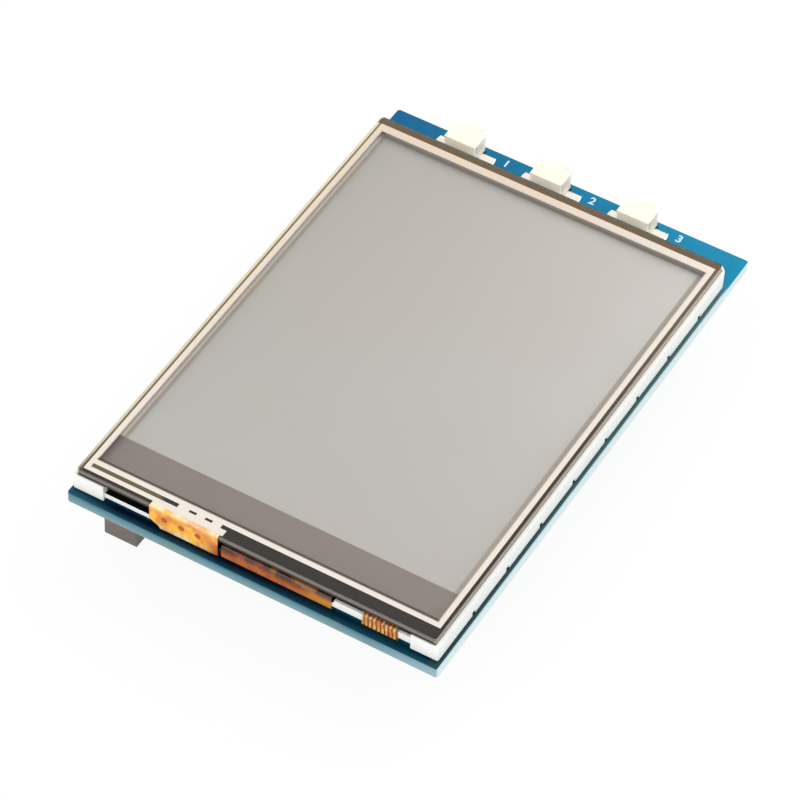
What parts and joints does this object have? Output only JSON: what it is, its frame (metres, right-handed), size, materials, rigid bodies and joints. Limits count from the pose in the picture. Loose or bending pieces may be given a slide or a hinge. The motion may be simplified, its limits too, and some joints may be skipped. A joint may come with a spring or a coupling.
{
  "type": "tft display module",
  "caption": "Touch screen TFT panel on a circuit board, with side-push keys along one end and a two-row pin socket on the hidden side.",
  "frame": {"origin": "centre of the pin socket's mating face, which lies on the pin header's plastic when the module is plugged on", "axes": "+Z from the socket towards the screen, square to the board; +Y along the board's long side towards the keys; +X across the short side, away from the socket"},
  "size_m": [0.056, 0.086, 0.0184],
  "materials": {
    "solder_mask": "glossy blue solder mask on glass-fibre board",
    "foam_tape": "matt",
    "white_plastic": "satin moulded white",
    "reflector": "silvery white film",
    "clear_plastic": "clear polished",
    "optical_film": "milky film",
    "amber_flex": "glossy brown polyimide film with copper",
    "orange_flex": "glossy orange polyimide film with copper",
    "led_body": "white with yellow phosphor",
    "black_tape": "matt black adhesive tape",
    "panel_glass": "thin display glass",
    "touch_glass": "clear float glass",
    "polariser": "warm grey, switched off",
    "silicon": "bare chip",
    "silver_ink": "printed silver line seen through film",
    "clear_film": "clear film",
    "key_plastic": "ivory moulded",
    "tin_plate": "tinned sheet metal",
    "black_plastic": "matt black moulded",
    "gold_contact": "gold plated bronze",
    "chip_resin": "black moulding resin",
    "chip_ceramic": "small ceramic blocks"
  },
  "bodies": {
    "module": {"pcb": "solder_mask", "panel_tape": "foam_tape", "backlight_frame": "white_plastic", "reflector_film": "reflector", "light_guide": "clear_plastic", "led_flex": "amber_flex", "led_chips": "led_body", "diffuser_film": "optical_film", "prism_film_lower": "optical_film", "prism_film_upper": "optical_film", "rim_tape": "black_tape", "rear_polariser": "polariser", "array_glass": "panel_glass", "driver_chip": "silicon", "chip_tape": "black_tape", "colour_filter_glass": "panel_glass", "front_polariser": "polariser", "display_flex": "amber_flex", "touch_gasket": "black_tape", "touch_glass": "touch_glass", "touch_adhesive": "clear_film", "silver_ring": "silver_ink", "touch_film": "clear_film", "touch_tail": "orange_flex", "key_1_base": "key_plastic", "key_1_lid": "tin_plate", "key_1_dome": "tin_plate", "key_1_terminals": "tin_plate", "key_2_base": "key_plastic", "key_2_lid": "tin_plate", "key_2_dome": "tin_plate", "key_2_terminals": "tin_plate", "key_3_base": "key_plastic", "key_3_lid": "tin_plate", "key_3_dome": "tin_plate", "key_3_terminals": "tin_plate", "socket_body": "black_plastic", "socket_riser": "black_plastic", "socket_contacts": "gold_contact", "touch_controller": "chip_resin", "controller_leads": "tin_plate", "transistor": "chip_resin", "transistor_leads": "tin_plate", "resistors": "chip_resin", "capacitors": "chip_ceramic"},
    "button_1": {"key_1_button": "key_plastic"},
    "button_2": {"key_2_button": "key_plastic"},
    "button_3": {"key_3_button": "key_plastic"}
  },
  "joints": [
    {"name": "key_1_press", "type": "slide", "parent": "module", "child": "button_1", "axis": [0, -1, 0], "range_m": [0, 0.00025], "stiffness_N_per_m": 4000, "springref_m": -0.00015},
    {"name": "key_2_press", "type": "slide", "parent": "module", "child": "button_2", "axis": [0, -1, 0], "range_m": [0, 0.00025], "stiffness_N_per_m": 4000, "springref_m": -0.00015},
    {"name": "key_3_press", "type": "slide", "parent": "module", "child": "button_3", "axis": [0, -1, 0], "range_m": [0, 0.00025], "stiffness_N_per_m": 4000, "springref_m": -0.00015}
  ]
}
